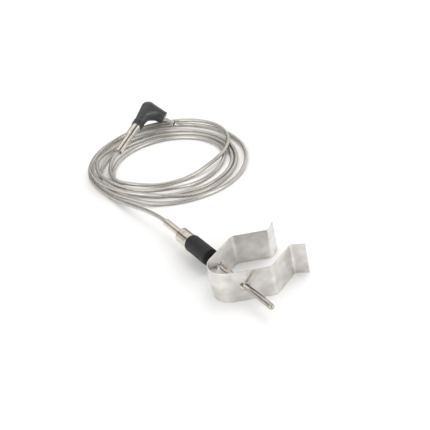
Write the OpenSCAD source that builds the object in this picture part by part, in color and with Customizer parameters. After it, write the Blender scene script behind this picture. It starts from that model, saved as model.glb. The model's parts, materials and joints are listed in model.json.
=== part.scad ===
// Sprung-clip air temperature probe (thermocouple) on a coiled braided cable.
// The origin is the measuring junction, 3 mm behind the sheath's rounded end.
// +X runs along the probe towards its tip, +Z is up, and the clip's mouth
// opens towards +Y. The clip stands on its lower edge at z = -strip_w / 2,
// which is also the level the coil of cable lies on.

/* [Probe sheath] */
// Outside diameter of the sheath
sheath_d = 3.2; // [3.0:0.1:3.2]
// Wall of the sheath tube
sheath_wall = 0.35; // [0.25:0.05:0.4]
// Distance from the junction to the end of the rounded tip
tip_reach = 3; // [2.6:0.1:4]

/* [Grip sleeve and collar] */
// Distance from the junction back to the front face of the grip sleeve
sleeve_front = 57.8; // [50:0.1:70]
// Length of the black grip sleeve
sleeve_len = 20.9; // [18:0.1:26]
// Outside diameter of the grip sleeve
sleeve_d = 10; // [9:0.1:12]
// Length of the bright collar behind the sleeve
collar_len = 12; // [11:0.1:16]
// Outside diameter of the collar
collar_d = 9; // [8.6:0.1:10]
// Outside diameter of the crimp ferrule behind the collar
ferrule_d = 4.4; // [4.2:0.1:5]
// Length of ferrule that shows behind the collar
ferrule_len = 20; // [12:0.5:24]

/* [Grate clip] */
// Width of the clip strip, measured along Z
strip_w = 17.5; // [14:0.5:20]
// Thickness of the clip strip
strip_t = 0.5; // [0.4:0.05:0.6]
// Distance from the junction back to the middle of the clip
clip_back = 35.3; // [30:0.1:37]
// Radius of the round bow that joins the arms
bow_r = 10.9; // [10:0.1:12]
// Spread of each arm leaving the bow, in degrees
arm_angle = 28; // [26:0.5:30]
// Length of each arm's first straight, bow to shoulder
arm_len = 21.5; // [20:0.1:24]
// Inward lean of each jaw after the shoulder, in degrees
jaw_angle = 28.5; // [24:0.5:32]
// Length of each jaw, shoulder to waist
jaw_len = 19.8; // [16:0.1:22]
// Outward flare of the two lips, in degrees
lip_angle = 41; // [30:1:50]
// Length of each lip
lip_len = 7.8; // [5:0.1:10]
// Hole in each arm that the sheath passes through
clip_hole_d = 4.8; // [4.7:0.05:5]

/* [Cable] */
// Outside diameter of the braided cable
cable_d = 2.6; // [2.4:0.1:2.6]
// Stations along each turn of the coil
turn_steps = 44; // [40:2:48]
// Middle of the coil
coil_x = -196; // [-197:0.5:-195]
// Middle of the coil across the probe axis
coil_y = 42.8; // [42:0.2:43.6]

/* [Plug] */
// End of the strain relief tube, where the cable leaves it
plug_x = -231.5; // [-234:0.5:-228]
// The same point across the probe axis
plug_y = 22.8; // [20:0.2:26]
// Height of that point above the surface the coil lies on
plug_z = 5.1; // [4.9:0.1:7]
// Compass direction from the tube end to the boot, degrees from +X
plug_az = 121; // [116:1:126]
// Rise of the tube towards the boot, in degrees
plug_rise = 15; // [12:1:18]
// Roll of the boot about the tube, in degrees
plug_roll = 36; // [30:1:38]
// Outside diameter of the strain relief tube
relief_d = 5.5; // [5:0.1:6]
// Outside diameter of the wider relief collar at the boot
relief_collar_d = 6.7; // [6.2:0.1:7]
// Jack shank diameter
jack_d = 2.5; // [2.4:0.1:2.6]

/* [Output] */
// Which sub-part to draw

/* [Hidden] */

$fn = 64;
cut = 1;            // run of a cut past a face, or lap of a part into its neighbour

// Clearances between neighbouring parts, closest first
tight = 0.02;
snug = 0.03;
loose = 0.05;
free = 0.1;

// Wires and cable
wire_y = 0.5;       // wires run this far either side of the axis
wire_r = 0.15;
cond_r = 0.24;      // cable conductor
core_r = 0.93;
braid_r = cable_d / 2;
braid_bore_r = 0.96;
stub = 0.5;         // braid showing past ferrule and relief tube
flex_gap = 1;       // short break between each stub and the coil

steel = [0.72, 0.71, 0.69];
nickel = [0.8, 0.78, 0.74];
black = [0.08, 0.08, 0.085];
copper = [0.72, 0.45, 0.28];
cream = [0.88, 0.86, 0.8];
solder = [0.75, 0.75, 0.74];

// A cylinder along X from x0 to x1
module x_cyl(x0, x1, radius, sides = 64) {
    translate([x0, 0, 0]) rotate([0, 90, 0])
        cylinder(h = x1 - x0, r = radius, $fn = sides);
}

// A cone along X from x0 (radius start_r) to x1 (radius end_r)
module x_cone(x0, x1, start_r, end_r) {
    translate([x0, 0, 0]) rotate([0, 90, 0]) cylinder(h = x1 - x0, r1 = start_r, r2 = end_r);
}

// A barrel along X with both outer edges chamfered
module x_barrel(x0, x1, radius, chamfer) {
    length = x1 - x0;
    translate([x0, 0, 0]) rotate([0, 90, 0]) rotate_extrude()
        polygon([[0, 0], [radius - chamfer, 0], [radius, chamfer],
                 [radius, length - chamfer], [radius - chamfer, length], [0, length]]);
}

// Off-axis wire or bore
module x_wire(x0, x1, y, radius) {
    translate([0, y, 0]) x_cyl(x0, x1, radius, 32);
}

// One wire or bore on each side of the axis
module wire_pair(x0, x1, radius) {
    for (s = [-1, 1]) x_wire(x0, x1, s * wire_y, radius);
}

// Straight length of braid
module braid_tube(x0, x1) {
    difference() {
        x_cyl(x0, x1, braid_r);
        x_cyl(x0 - cut, x1 + cut, braid_bore_r);
    }
}

// Straight length of core, bored for its two conductors
module core_rod(x0, x1) {
    difference() {
        x_cyl(x0, x1, core_r);
        wire_pair(x0 - cut, x1 + cut, cond_r + tight);
    }
}

// ---------------------------------------------------------------- probe
// Stations along the probe, from the sleeve back to the ferrule
sleeve_front_x = -sleeve_front;
sleeve_rear_x = sleeve_front_x - sleeve_len;      // also the collar's front face
collar_rear_x = sleeve_rear_x - collar_len;
ferrule_rear_x = collar_rear_x - ferrule_len;
spigot_front_x = sleeve_front_x - 7.7;            // collar's spigot in the sleeve
cavity_front_x = spigot_front_x - 6;              // splice cavity in the collar
sheath_rear_x = cavity_front_x - 2;

sheath_r = sheath_d / 2;
bore_r = sheath_r - sheath_wall;
dome_x = tip_reach - sheath_r;                    // centre of the rounded tip
ceramic_front_x = -3;
ceramic_rear_x = sheath_rear_x - 2;
packing_rear_x = ceramic_front_x + free;
bead_r = 0.7;
wire_front_x = -0.2;                              // wires end inside the bead

spigot_r = 3.4;
cavity_r = 2.4;
recess_r = 3.3;                                   // recess in the collar's rear face
recess_len = 2.4;
bush_inset = 0.2;                                 // bush behind the collar's rear face

// Inside the collar, each part ends just short of the next
ferrule_front_x = collar_rear_x + 3.2;
potting_rear_x = ferrule_front_x + free;
potting_front_x = potting_rear_x + 1;
core_front_x = potting_front_x + free;

// Splices, staggered along X. Depths are measured back from a splice's front.
splice_pos_x = sheath_rear_x - 3;
splice_neg_x = splice_pos_x - 4.3;
splice_len = 3.5;
splice_r = 0.45;
splice_sleeve_r = 0.68;
splice_sleeve_lap = 0.3;                          // sleeve past each end of the crimp
wire_socket = 1.7;
cond_socket = 1.8;
wire_depth = 1.6;
cond_depth = 1.85;

// A rod along X from x0 to the centre of its domed front end
module domed_rod(x0, radius) {
    x_cyl(x0, dome_x, radius);
    translate([dome_x, 0, 0]) sphere(r = radius);
}

module probe_sheath() {
    color(steel) difference() {
        domed_rod(sheath_rear_x, sheath_r);
        domed_rod(sheath_rear_x - cut, bore_r);
    }
}

module ceramic_insulator() {
    color(cream) difference() {
        x_cyl(ceramic_rear_x, ceramic_front_x, bore_r - free);
        wire_pair(ceramic_rear_x - cut, ceramic_front_x + cut, wire_r + loose);
    }
}

module tip_packing() {
    color([0.93, 0.92, 0.9]) difference() {
        x_cyl(packing_rear_x, dome_x, bore_r - loose);
        sphere(r = bead_r + tight);
        wire_pair(packing_rear_x - cut, 0, wire_r + snug);
    }
}

module junction_bead() {
    color(nickel) difference() {
        sphere(r = bead_r, $fn = 40);
        wire_pair(-bead_r - cut, wire_front_x, wire_r);
    }
}

module thermo_wire_positive() {
    color(copper) x_wire(splice_pos_x - wire_depth, wire_front_x, wire_y, wire_r);
}

module thermo_wire_negative() {
    color(nickel) x_wire(splice_neg_x - wire_depth, wire_front_x, -wire_y, wire_r);
}

// Turned collar with a forward spigot that the sleeve is pushed over
module collar_body() {
    color(nickel) difference() {
        union() {
            x_barrel(collar_rear_x, sleeve_rear_x, collar_d / 2, 0.4);
            x_cyl(sleeve_rear_x - cut, spigot_front_x, spigot_r);
        }
        x_cyl(cavity_front_x - cut, spigot_front_x + cut, sheath_r + tight);
        x_cyl(collar_rear_x - cut, cavity_front_x, cavity_r);
        x_cyl(collar_rear_x - cut, collar_rear_x + recess_len, recess_r);
    }
}

module collar_end_bush() {
    bush_front_x = collar_rear_x + recess_len - tight;
    color(steel) difference() {
        x_cyl(collar_rear_x + bush_inset, bush_front_x, recess_r - tight);
        x_cyl(collar_rear_x - cut, bush_front_x + cut, ferrule_d / 2 + tight);
    }
}

module crimp_ferrule() {
    color(nickel) difference() {
        x_barrel(ferrule_rear_x, ferrule_front_x, ferrule_d / 2, 0.15);
        x_cyl(ferrule_rear_x - cut, ferrule_front_x + cut, braid_r + snug);
    }
}

// Crimp with a socket at each end and a thin web between them
module splice_crimp(front_x, y) {
    rear_x = front_x - splice_len;
    difference() {
        x_wire(rear_x, front_x, y, splice_r);
        x_wire(front_x - wire_socket, front_x + cut, y, wire_r + tight);
        x_wire(rear_x - cut, front_x - cond_socket, y, cond_r + tight);
    }
}

module splice_sleeve(front_x, y) {
    x0 = front_x - splice_len - splice_sleeve_lap;
    x1 = front_x + splice_sleeve_lap;
    difference() {
        x_wire(x0, x1, y, splice_sleeve_r);
        x_wire(x0 - cut, x1 + cut, y, splice_r + tight);
    }
}

module splice_crimp_positive() { color(copper) splice_crimp(splice_pos_x, wire_y); }

module splice_crimp_negative() { color(copper) splice_crimp(splice_neg_x, -wire_y); }

module splice_sleeve_positive() {
    color([0.55, 0.12, 0.1]) splice_sleeve(splice_pos_x, wire_y);
}

module splice_sleeve_negative() {
    color([0.15, 0.2, 0.5]) splice_sleeve(splice_neg_x, -wire_y);
}

module potting_plug() {
    color([0.45, 0.16, 0.12]) difference() {
        x_cyl(potting_rear_x, potting_front_x, cavity_r - tight);
        x_cyl(potting_rear_x - cut, potting_front_x + cut, core_r + tight);
    }
}

module probe_end_braid() {
    color(steel) braid_tube(ferrule_rear_x - stub, ferrule_front_x - free);
}

module probe_end_core() {
    color(cream) core_rod(ferrule_rear_x - stub, core_front_x);
}

module probe_end_conductor_positive() {
    color(copper) x_wire(ferrule_rear_x - stub, splice_pos_x - cond_depth, wire_y, cond_r);
}

module probe_end_conductor_negative() {
    color(nickel) x_wire(ferrule_rear_x - stub, splice_neg_x - cond_depth, -wire_y, cond_r);
}

spigot_gap = 0.2;                         // sleeve's inner step ahead of the spigot

module grip_sleeve() {
    color(black) difference() {
        x_barrel(sleeve_rear_x + loose, sleeve_front_x, sleeve_d / 2, 0.35);
        x_cyl(sleeve_rear_x - cut, spigot_front_x + spigot_gap, spigot_r + snug);
        x_cyl(spigot_front_x - cut, sleeve_front_x + cut, sheath_r + loose);
    }
}

// ---------------------------------------------------------------- clip
// The strip's centreline lies in the XY plane. Each arm leaves the bow,
// spreads to a shoulder, leans in to a waist and flares out to a lip. The
// bow is a separate piece, with a small gap between it and each arm.

bow_half_angle = 18;
bow_gap_angle = 0.4;
bow_centre = [-clip_back, -0.7];
shoulder_r = 3;
waist_r = 2.5;
bow_steps = 12;
bend_steps = 8;

hole_play = clip_hole_d / 2 * cos(arm_angle) - strip_t / 2 * sin(arm_angle) - sheath_r;
hole_shift = hole_play - 0.04;            // the sheath bears on the mouth side

function unit(v) = v / norm(v);
function bow_point(angle) = bow_centre + bow_r * [sin(angle), -cos(angle)];

// Ends of the front arm's straights, before its bends are rounded
arm_start = bow_centre + bow_r * [cos(arm_angle), -sin(arm_angle)];
shoulder = arm_start + arm_len * [sin(arm_angle), cos(arm_angle)];
waist = shoulder + jaw_len * [-sin(jaw_angle), cos(jaw_angle)];
lip_end = waist + lip_len * [sin(lip_angle), cos(lip_angle)];

hole_x = arm_start[0] - (hole_shift + arm_start[1]) * tan(arm_angle);

// Points of the round that replaces a corner between two others
function bend(before, corner, after, radius) =
    let (back = unit(before - corner), ahead = unit(after - corner),
         half = acos(back * ahead) / 2,
         centre = corner + unit(back + ahead) * radius / sin(half),
         from = corner + back * radius / tan(half) - centre,
         to = corner + ahead * radius / tan(half) - centre,
         start = atan2(from[1], from[0]),
         sweep = ((atan2(to[1], to[0]) - start + 540) % 360) - 180)
    [for (i = [0 : bend_steps]) let (angle = start + sweep * i / bend_steps)
        centre + radius * [cos(angle), sin(angle)]];

arm_bow_angle = bow_half_angle + bow_gap_angle;   // where the arm begins on the bow
arm_line = concat(
    [for (i = [0 : bow_steps])
        bow_point(arm_bow_angle + (90 - arm_angle - arm_bow_angle) * i / bow_steps)],
    bend(arm_start, shoulder, waist, shoulder_r),
    bend(shoulder, waist, lip_end, waist_r),
    [lip_end]);

function heading(line, i) = unit(line[min(i + 1, len(line) - 1)] - line[max(i - 1, 0)]);

// The line moved sideways by half the strip, to the left (1) or right (-1)
function edge(line, hand) = [for (i = [0 : len(line) - 1])
    let (along = heading(line, i)) line[i] + hand * strip_t / 2 * [-along[1], along[0]]];

module strip(line) {
    right = edge(line, -1);
    translate([0, 0, -strip_w / 2]) linear_extrude(strip_w)
        polygon(concat(edge(line, 1), [for (i = [len(right) - 1 : -1 : 0]) right[i]]));
}

module arm() {
    difference() {
        strip(arm_line);
        translate([hole_x, -hole_shift, 0]) rotate([0, 90, -arm_angle])
            cylinder(h = 4, r = clip_hole_d / 2, center = true);
    }
}

module clip_bow() {
    half_steps = bow_steps / 2;
    color(steel) strip([for (i = [-half_steps : half_steps])
        bow_point(bow_half_angle * i / half_steps)]);
}

module clip_front_arm() { color(steel) arm(); }

module clip_rear_arm() {
    color(steel) translate([-2 * clip_back, 0, 0]) mirror([1, 0, 0]) arm();
}

// ---------------------------------------------------------------- cable
// Reach of each turn from the middle of the coil: towards -X, -Y, +X and +Y.
// The first turn is the one that leaves the plug and lies on top.
turns = [
    [40, 40, 33, 50],
    [62, 49, 57, 44],
    [54, 45, 44, 37],
    [38, 39, 52, 41],
    [47, 48, 62.5, 51],
    [65, 51, 60, 50]];
minus_x = 0;                              // columns of turns
minus_y = 1;
plus_x = 2;
plus_y = 3;

function reach(turn, column) = turns[max(0, min(turn, len(turns) - 1))][column];

// Plan position after a number of turns, counted from the -X side
function plan(count) =
    let (turn = floor(count), part = count - turn, angle = 180 + 360 * part,
         left = -reach(part < 0.5 ? turn : turn + 1, minus_x),
         right = reach(turn, plus_x),
         low = -reach(part < 0.75 ? turn : turn + 1, minus_y),
         high = reach(part < 0.25 ? turn - 1 : turn, plus_y))
    [coil_x + (left + right) / 2 + (right - left) / 2 * cos(angle),
     coil_y + (low + high) / 2 + (high - low) / 2 * sin(angle)];

// Direction of the plug's axis, from the tube end towards the boot
plug_dir = [cos(plug_rise) * cos(plug_az), cos(plug_rise) * sin(plug_az), sin(plug_rise)];
floor_z = -strip_w / 2;
rest_z = floor_z + braid_r;                           // cable lying on the floor
plug_end = [plug_x, plug_y, floor_z + plug_z];
plug_lead = plug_end - plug_dir * (stub + flex_gap);  // coil's plug end
probe_lead = [ferrule_rear_x - stub - flex_gap, 0, 0]; // coil's probe end

join_turn = 0.3;                          // turn at which the plug lead has joined
leave_turn = 5.2;                         // turn at which the probe lead leaves
join_steps = 18;
leave_steps = 20;
coil_steps = round((leave_turn - join_turn) * turn_steps);
last = join_steps + coil_steps + leave_steps;         // last station

// End tangents of the two lead curves: lengths, and turns for the coil ends
plug_pull = 46;
probe_pull = 70;
join_pull = 0.16;
leave_pull = 0.2;

// Cubic from start to end with the given end tangents, at s from 0 to 1
function hermite(start, end, start_dir, end_dir, s) =
    start * (2 * s * s * s - 3 * s * s + 1) + start_dir * (s * s * s - 2 * s * s + s)
    + end * (3 * s * s - 2 * s * s * s) + end_dir * (s * s * s - s * s);
function flat(v) = [v[0], v[1]];
function plan_slope(count) = (plan(count + 0.01) - plan(count - 0.01)) / 0.02;

// Plan position of every station, from the plug to the probe
plan_line = concat(
    [for (i = [0 : join_steps - 1]) hermite(flat(plug_lead), plan(join_turn),
        -plug_pull * flat(plug_dir), plan_slope(join_turn) * join_pull, i / join_steps)],
    [for (i = [0 : coil_steps - 1])
        plan(join_turn + (leave_turn - join_turn) * i / coil_steps)],
    [for (i = [0 : leave_steps]) hermite(plan(leave_turn), flat(probe_lead),
        plan_slope(leave_turn) * leave_pull, [probe_pull, 0], i / leave_steps)]);

// Least height of each station: the ends are held by the plug and the probe
plug_ramp = 9;                            // stations over which each end is held up
probe_ramp = 12;
function ease(s) = s * s * (3 - 2 * s);
function held(i) =
    i > last - probe_ramp ? rest_z * (1 - ease((i - last + probe_ramp) / probe_ramp))
    : i < plug_ramp ? rest_z + (plug_lead[2] - rest_z) * (1 - ease(i / plug_ramp))
    : rest_z;

// Plan distance from a point to the segment start-end
function off_line(point, start, end) =
    let (run = end - start, part = max(0, min(1, ((point - start) * run) / (run * run))))
    norm(point - start - part * run);

// Positive where the point lies left of the line start-end
function left_of(start, end, point) =
    (end[0] - start[0]) * (point[1] - start[1]) - (end[1] - start[1]) * (point[0] - start[0]);
function straddles(start, end, one, two) =
    left_of(start, end, one) * left_of(start, end, two) < 0;

// Plan distance between the segments that follow stations i and j, zero where they cross
function plan_gap(i, j) =
    let (start = plan_line[i], end = plan_line[i + 1],
         start2 = plan_line[j], end2 = plan_line[j + 1])
    straddles(start, end, start2, end2) && straddles(start2, end2, start, end) ? 0
    : min(off_line(start, start2, end2), off_line(end, start2, end2),
          off_line(start2, start, end), off_line(end2, start, end));

lay = 1.08 * cable_d;                     // spacing of cable laid over cable
touch = 1.03 * cable_d;                   // plan gap below which cables stack
search_r = 18;                            // stations further apart are skipped

// Height station i needs to clear the cable laid before it, whose settled
// heights from station first onwards are given. Later stations lie underneath.
function rest_on(i, first, heights) = max(concat([held(i)],
    [for (j = [max(first, i + turn_steps / 2) : 1 : last - 1])
        if (norm(plan_line[i] - plan_line[j]) < search_r)
            let (gap = min(plan_gap(min(i, last - 1), j), plan_gap(max(0, i - 1), j)))
            if (gap < touch)
                max(heights[j - first], heights[j - first + 1]) + sqrt(lay * lay - gap * gap)]));

// Highest of the five stations around i, from a list that starts at station first
function crest(i, first, needs) =
    max([for (j = [-2 : 2]) needs[max(0, min(last, i + j)) - first]]);
function eased(i, first, needs) = max(held(i),
    (crest(i - 2, first, needs) + 2 * crest(i - 1, first, needs)
     + 3 * crest(i, first, needs)
     + 2 * crest(i + 1, first, needs) + crest(i + 2, first, needs)) / 9);

// Lay the cable from the probe end back to the plug. needs holds the height each
// station needs and heights the settled ones, which follow settle_lag behind.
settle_lag = 4;
function settle(i, needs, heights) =
    i < 0 ? concat([for (j = [0 : settle_lag - 1]) eased(j, 0, needs)], heights)
    : let (grown = concat([rest_on(i, last + 1 - len(heights), heights)], needs),
           j = i + settle_lag)
      settle(i - 1, grown, j > last ? heights : concat([eased(j, i, grown)], heights));

settled = settle(last, [], []);
cable_line = [for (i = [0 : last])
    i == 0 ? plug_lead
    : i == last ? probe_lead
    : [plan_line[i][0], plan_line[i][1], settled[i]]];

function tangent(i) =
    i == 0 ? -plug_dir
    : i == last ? [1, 0, 0]
    : unit(cable_line[i + 1] - cable_line[i - 1]);

function ring(i, radius, sides) =
    let (along = tangent(i), across = unit(cross([0, 0, 1], along)), up = cross(along, across))
    [for (j = [0 : sides - 1]) let (angle = 360 * (j + 0.5) / sides)
        cable_line[i] + radius * (cos(angle) * across + sin(angle) * up)];

function rings(radius, sides) = [for (i = [0 : last]) each ring(i, radius, sides)];

// Faces joining the rings whose points start at index first
function wall(sides, first, outward) = [for (i = [0 : last - 1], j = [0 : sides - 1])
    let (here = first + i * sides + j, beside = first + i * sides + (j + 1) % sides,
         ahead = here + sides, diagonal = beside + sides)
    each outward ? [[here, beside, diagonal], [here, diagonal, ahead]]
                 : [[here, diagonal, beside], [here, ahead, diagonal]]];

// Hollow cable: the outer and inner walls have the same number of sides
module cable_braid() {
    sides = 8;
    inner = (last + 1) * sides;           // first point of the inner wall
    end = last * sides;                   // first point of the last outer ring
    color(steel) polyhedron(
        points = concat(rings(braid_r, sides), rings(braid_bore_r, sides)),
        faces = concat(
            wall(sides, 0, true),
            wall(sides, inner, false),
            [for (j = [0 : sides - 1]) let (k = (j + 1) % sides)
                each [[j, inner + k, k], [j, inner + j, inner + k]]],
            [for (j = [0 : sides - 1]) let (k = (j + 1) % sides)
                each [[end + j, end + k, inner + end + k],
                      [end + j, inner + end + k, inner + end + j]]]));
}

module cable_core() {
    sides = 6;
    coil_core_r = 0.86;
    color(cream) polyhedron(points = rings(coil_core_r, sides), faces = concat(
        wall(sides, 0, true),
        [[for (j = [sides - 1 : -1 : 0]) j]],
        [[for (j = [0 : sides - 1]) last * sides + j]]));
}

// ---------------------------------------------------------------- plug
// Drawn along +X from the end of the strain relief tube; the jack points
// along -Y from the elbow. place() carries it to where it lies on the coil.

relief_len = 24;
relief_collar_x0 = 17.2;
relief_collar_x1 = 31.5;
core_end = 36;
elbow = 46;                               // tube end to elbow
boot_mouth = 27;                          // tube end to the boot's mouth
elbow_r = 5.7;
rib_len = 1.15;
rib_pitch = 1.6;
lug_x = elbow - 1.85;                     // face of the lug towards the cable
cond_end_pos = elbow - 0.55;
cond_end_neg = lug_x - loose;

// Distances out from the neck's axis along the jack, and radii
boot_out = 13.3;                          // the boot's end face
boot_bore_r = 2.92;
insert_start = 6.5;
barrel_start = 6.4;
barrel_end = boot_out + 8;
barrel_r = 1.6;                           // part of the barrel held in the insert
barrel_bore_r = 0.72;
insulator_start = 6.2;
insulator_end = boot_out + 8.8;
pin_start = -0.9;
pin_r = 0.4;
lug_start = 5.6;
lug_end = 6;

// Jack tip in cones: start and end beyond the boot's face, then start and end radius
tip_cones = [
    [8.85, 9.5, 1.0, 1.15],
    [9.4, 10.2, 1.15, 0.75],
    [10.1, 10.9, 0.75, 1.2],
    [10.8, 12, 1.2, 0.35]];

module place() {
    translate(plug_end) rotate([plug_roll, -plug_rise, plug_az]) children();
}

// A cone along -Y at the elbow, between two distances out from the neck's axis
module jack_cone(from, to, from_r, to_r, sides = 64) {
    translate([elbow, -from, 0]) rotate([90, 0, 0])
        cylinder(h = to - from, r1 = from_r, r2 = to_r, $fn = sides);
}

module jack_cyl(from, to, radius, sides = 64) {
    jack_cone(from, to, radius, radius, sides);
}

module plug_end_braid() { color(steel) place() braid_tube(-stub, relief_len); }

module plug_end_core() { color(cream) place() core_rod(-stub, core_end); }

module plug_end_conductor_positive() {
    color(copper) place() x_wire(-stub, cond_end_pos, wire_y, cond_r);
}

module plug_end_conductor_negative() {
    color(nickel) place() x_wire(-stub, cond_end_neg, -wire_y, cond_r);
}

module strain_relief_tube() {
    color(nickel) place() difference() {
        x_barrel(0, relief_len, relief_d / 2, 0.2);
        x_cyl(-cut, relief_len + cut, braid_r + snug);
    }
}

module strain_relief_collar() {
    color(nickel) place() difference() {
        x_barrel(relief_collar_x0, relief_collar_x1, relief_collar_d / 2, 0.25);
        x_cyl(relief_collar_x0 - cut, relief_len + free, relief_d / 2 + tight);
        x_cyl(relief_len - cut, relief_collar_x1 + cut, 2);
    }
}

// Moulded right-angle boot with three ribs at its mouth, each larger than the last
module plug_boot() {
    color(black) place() difference() {
        union() {
            for (i = [0 : 2]) let (rib_x = boot_mouth + i * rib_pitch)
                x_barrel(rib_x, rib_x + rib_len, 3.9 + 0.1 * i, 0.2);
            x_cyl(boot_mouth + 0.5, boot_mouth + 4.6, 3.6);
            x_cone(boot_mouth + 4.5, elbow - 1, 4.1, 5.6);
            translate([elbow, 0, 0]) sphere(r = elbow_r);
            jack_cone(0.8, boot_out, 5.6, 4.4);
        }
        x_cyl(boot_mouth - cut, relief_collar_x1 + free, relief_collar_d / 2 + tight);
        x_cyl(relief_collar_x1 - 0.5, elbow, 2.3);
        translate([elbow, 0, 0]) sphere(r = 3.5);
        jack_cyl(0, boot_out + cut, boot_bore_r);
    }
}

module plug_insert() {
    color([0.12, 0.12, 0.13]) place() difference() {
        jack_cyl(insert_start, boot_out - loose, boot_bore_r - tight);
        jack_cyl(insert_start - cut, boot_out + cut, barrel_r + tight);
    }
}

// Barrel with a flange at the boot's end face and a longer, thinner shank
module jack_barrel() {
    color(nickel) place() difference() {
        union() {
            jack_cyl(barrel_start, boot_out + 0.2, barrel_r);
            jack_cyl(boot_out, boot_out + 0.8, 2.6);
            jack_cyl(boot_out + 0.5, barrel_end, jack_d / 2);
        }
        jack_cyl(barrel_start - cut, barrel_end + cut, barrel_bore_r);
    }
}

// Liner of the barrel, with a ring that shows beyond the shank
module jack_insulator() {
    color(black) place() difference() {
        union() {
            jack_cyl(insulator_start, barrel_end + 0.2, barrel_bore_r - tight);
            jack_cyl(barrel_end + tight, insulator_end, jack_d / 2);
        }
        jack_cyl(insulator_start - cut, insulator_end + cut, pin_r + snug);
    }
}

module jack_tip() {
    color(nickel) place() union() {
        jack_cyl(pin_start, boot_out + 9, pin_r, 32);
        for (row = tip_cones) jack_cone(boot_out + row[0], boot_out + row[1], row[2], row[3]);
    }
}

// Solder tag of the jack's sleeve contact
module sleeve_lug() {
    color(copper) place() difference() {
        union() {
            jack_cyl(lug_start, lug_end, 1.9);
            translate([lug_x, -5.9, -0.7]) cube([0.35, 5.8, 1.4]);
        }
        jack_cyl(lug_start - cut, lug_end + cut, 0.5);
    }
}

module solder_joint_positive() {
    joint_r = 0.8;
    color(solder) place() difference() {
        jack_cyl(pin_start + tight, -0.1, joint_r);
        jack_cyl(pin_start - cut, cut, pin_r + tight);
        x_wire(elbow - joint_r - cut, cond_end_pos + free, wire_y, cond_r + tight);
    }
}

module solder_joint_negative() {
    joint_start = elbow - 2.7;
    color(solder) place() difference() {
        translate([0, -wire_y, 0]) x_cone(joint_start, lug_x - tight, 0.34, 0.6);
        x_wire(joint_start - cut, lug_x + cut, -wire_y, cond_r + tight);
    }
}

probe_sheath();
ceramic_insulator();
tip_packing();
junction_bead();
thermo_wire_positive();
thermo_wire_negative();
collar_body();
collar_end_bush();
crimp_ferrule();
splice_crimp_positive();
splice_crimp_negative();
splice_sleeve_positive();
splice_sleeve_negative();
potting_plug();
probe_end_braid();
probe_end_core();
probe_end_conductor_positive();
probe_end_conductor_negative();
grip_sleeve();
clip_bow();
clip_front_arm();
clip_rear_arm();
cable_braid();
cable_core();
plug_end_braid();
plug_end_core();
plug_end_conductor_positive();
plug_end_conductor_negative();
strain_relief_tube();
strain_relief_collar();
plug_boot();
plug_insert();
jack_barrel();
jack_insulator();
jack_tip();
sleeve_lug();
solder_joint_positive();
solder_joint_negative();
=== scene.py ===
import json
import math

import bmesh
import bpy
import numpy as np
from mathutils import Matrix, Vector


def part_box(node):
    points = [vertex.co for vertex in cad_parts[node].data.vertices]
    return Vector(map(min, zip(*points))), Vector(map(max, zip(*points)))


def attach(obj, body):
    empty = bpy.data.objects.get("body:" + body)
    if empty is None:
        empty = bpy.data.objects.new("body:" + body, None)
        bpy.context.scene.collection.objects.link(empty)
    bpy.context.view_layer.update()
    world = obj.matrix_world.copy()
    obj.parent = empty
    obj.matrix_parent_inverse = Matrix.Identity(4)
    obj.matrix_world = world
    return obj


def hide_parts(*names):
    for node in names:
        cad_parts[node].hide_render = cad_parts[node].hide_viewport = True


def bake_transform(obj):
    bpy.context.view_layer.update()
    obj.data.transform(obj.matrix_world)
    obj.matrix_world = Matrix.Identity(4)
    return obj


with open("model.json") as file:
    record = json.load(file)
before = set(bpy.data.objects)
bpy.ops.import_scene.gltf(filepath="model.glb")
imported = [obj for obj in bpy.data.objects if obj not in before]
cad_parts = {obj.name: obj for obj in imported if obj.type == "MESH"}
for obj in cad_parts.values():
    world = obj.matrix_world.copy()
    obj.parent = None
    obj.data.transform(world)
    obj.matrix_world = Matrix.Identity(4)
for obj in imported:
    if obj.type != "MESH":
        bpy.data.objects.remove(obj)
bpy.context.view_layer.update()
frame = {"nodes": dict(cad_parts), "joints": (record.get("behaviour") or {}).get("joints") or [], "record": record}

record = frame["record"]
joints = {j["name"]: j for j in frame["joints"]}
mounts = {m["name"]: m for m in record["mounts"]}
MM = 0.001


def span(node):
    lo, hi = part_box(node)
    return np.array(lo) / MM, np.array(hi) / MM


# ------------------------------------------------------------ mesh helpers

def new_object(name, verts, faces, attrs=None):
    me = bpy.data.meshes.new(name)
    me.from_pydata([tuple(v) for v in np.asarray(verts) * MM], [], faces)
    for key, values in (attrs or {}).items():
        a = me.attributes.new(key, "FLOAT", "POINT")
        a.data.foreach_set("value", np.asarray(values, np.float32))
    me.update()
    o = bpy.data.objects.new(name, me)
    bpy.context.scene.collection.objects.link(o)
    return o


def smooth(o):
    o.data.polygons.foreach_set("use_smooth", [True] * len(o.data.polygons))
    o.data.update()


def outward(o):
    bm = bmesh.new()
    bm.from_mesh(o.data)
    bmesh.ops.recalc_face_normals(bm, faces=bm.faces)
    bm.to_mesh(o.data)
    bm.free()
    o.data.update()


def bake_modifiers(o):
    """Replace the object's mesh with its evaluated one and drop the modifiers"""
    bpy.context.view_layer.update()
    dg = bpy.context.evaluated_depsgraph_get()
    me = bpy.data.meshes.new_from_object(o.evaluated_get(dg), preserve_all_data_layers=True, depsgraph=dg)
    old = o.data
    o.modifiers.clear()
    o.data = me
    me.name = o.name
    bpy.data.meshes.remove(old)


def weighted(o):
    smooth(o)
    m = o.modifiers.new("normals", "WEIGHTED_NORMAL")
    m.keep_sharp = True
    m.weight = 60
    bake_modifiers(o)


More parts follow.
